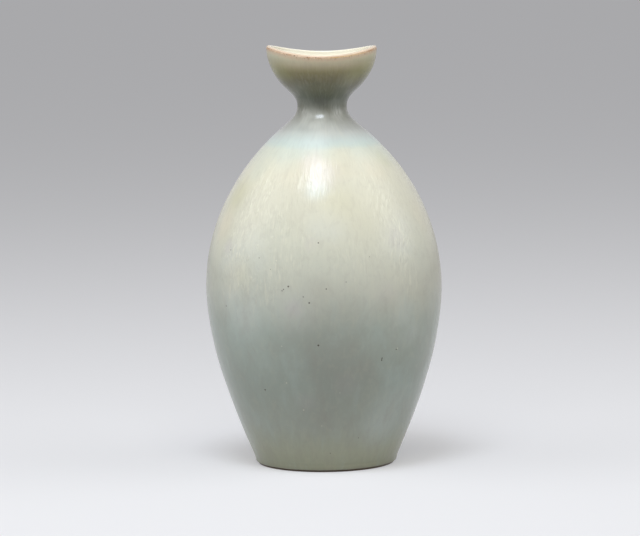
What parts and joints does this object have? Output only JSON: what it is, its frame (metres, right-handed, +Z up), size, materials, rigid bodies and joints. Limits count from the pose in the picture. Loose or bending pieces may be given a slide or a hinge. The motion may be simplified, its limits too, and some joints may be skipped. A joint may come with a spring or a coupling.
{
  "type": "stoneware bottle vase",
  "caption": "Glazed stoneware bottle vase: tapered ovoid body on a turned foot ring, narrow pinched neck and a small flared bowl mouth with a saddle-shaped lip.",
  "frame": {"origin": "centre of the foot ring, on the plane that meets the table", "axes": "+Z up along the turning axis; the lip is high towards +X and -X and low towards +Y and -Y; -Y faces the viewer"},
  "size_m": [0.1692, 0.1692, 0.3],
  "materials": {
    "stoneware_body": "matte",
    "outer_glaze": "satin",
    "inner_glaze": "gloss",
    "recess_glaze": "satin"
  },
  "bodies": {
    "root": {"stoneware_body": "stoneware_body", "outer_glaze": "outer_glaze", "inner_glaze": "inner_glaze", "recess_glaze": "recess_glaze"}
  },
  "joints": []
}
